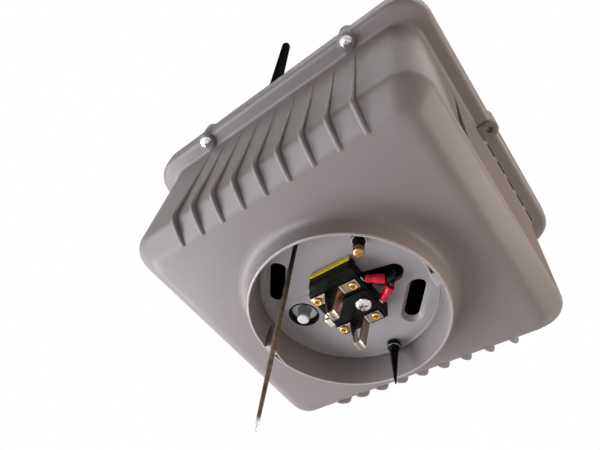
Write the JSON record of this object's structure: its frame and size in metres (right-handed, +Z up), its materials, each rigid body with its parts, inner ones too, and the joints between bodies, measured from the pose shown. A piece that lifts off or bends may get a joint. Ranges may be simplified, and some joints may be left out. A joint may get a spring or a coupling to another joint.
{
  "type": "outdoor access point",
  "caption": "Ribbed outdoor radio unit that plugs on top of a street lamp: round collar with a locking plug, light sensor, adjusting screws, guide rod and swivel antenna.",
  "frame": {"origin": "on the collar's axis, in the plane of the case's flat bottom", "axes": "+Z up, from the plug towards the cover and antenna; -Y to the ribbed front nearest the antenna; +X to the side with the empty screw boss"},
  "size_m": [0.2023, 0.1862, 0.4023],
  "materials": {
    "housing": "light grey moulded plastic, fine satin grain",
    "cover": "slightly darker grey moulded plastic, satin",
    "plate": "mid grey moulded plastic, satin",
    "black": "black moulded plastic, soft gloss",
    "black_steel": "blackened steel",
    "rubber": "matt black rubber",
    "yellow": "yellow moulded plastic",
    "nickel": "warm nickel plate",
    "zinc": "bright zinc plated steel",
    "brass": "bright brass",
    "red": "glossy red insulation",
    "clear": "clear moulded light pipe",
    "white": "white diffuser",
    "rod": "dark brown oxidised steel",
    "board": "green circuit board",
    "aluminium": "bare shield can"
  },
  "bodies": {
    "housing": {"antenna_connector": "nickel", "antenna_coupling": "nickel", "antenna_lock_nut": "nickel", "antenna_seal": "rubber", "board_screw_1": "zinc", "board_screw_2": "zinc", "board_screw_3": "zinc", "board_screw_4": "zinc", "brass_tip_screw_bush": "zinc", "cover_gasket": "rubber", "cover_screw_1": "zinc", "cover_screw_2": "zinc", "cover_screw_3": "zinc", "cover_screw_4": "zinc", "cover_screw_5": "zinc", "earth_contact": "nickel", "eyelet_1": "brass", "eyelet_2": "brass", "eyelet_3": "brass", "eyelet_4": "brass", "fuse_holder": "black", "guide_rod": "rod", "light_pipe": "clear", "light_pipe_diffuser": "white", "line_blade": "nickel", "line_crimp_sleeve": "red", "line_crimp_tongue": "zinc", "line_lead": "black", "load_blade": "nickel", "load_crimp_sleeve": "red", "load_crimp_tongue": "zinc", "load_lead": "black", "lower_housing": "housing", "main_board": "board", "plate_screw_1": "zinc", "plate_screw_2": "zinc", "plug_base": "black", "plug_nut": "zinc", "plug_screw": "zinc", "plug_side_strip": "yellow", "pointed_screw_bush": "zinc", "power_capacitor_1": "black", "power_capacitor_2": "black", "power_terminal": "black", "processor_shield": "aluminium", "radio_shield": "aluminium", "recess_plate": "plate", "rf_pigtail": "black", "sensor_cup": "black", "surge_absorber": "red", "top_cover": "cover", "transformer": "black"},
    "antenna_swivel": {"antenna_swivel": "black", "antenna_pivot_pin": "zinc"},
    "antenna_whip": {"antenna_whip": "black"},
    "pointed_screw": {"pointed_screw": "black_steel"},
    "brass_tip_screw": {"brass_tip_screw": "black_steel", "brass_tip": "brass"}
  },
  "joints": [
    {"name": "antenna_turn", "type": "hinge", "parent": "housing", "child": "antenna_swivel", "pos_m": [-0.0297, -0.07, 0.1369], "axis": [0, 0, 1], "continuous": true},
    {"name": "antenna_tilt", "type": "hinge", "parent": "antenna_swivel", "child": "antenna_whip", "pos_m": [-0.0297, -0.07, 0.1369], "axis": [1, 0, 0], "range_deg": [-5, 85]},
    {"name": "pointed_screw_travel", "type": "slide", "parent": "housing", "child": "pointed_screw", "axis": [0, 0, -1], "range_m": [-0.01, 0.006]},
    {"name": "brass_tip_screw_travel", "type": "slide", "parent": "housing", "child": "brass_tip_screw", "axis": [0, 0, -1], "range_m": [-0.004, 0.01]}
  ]
}
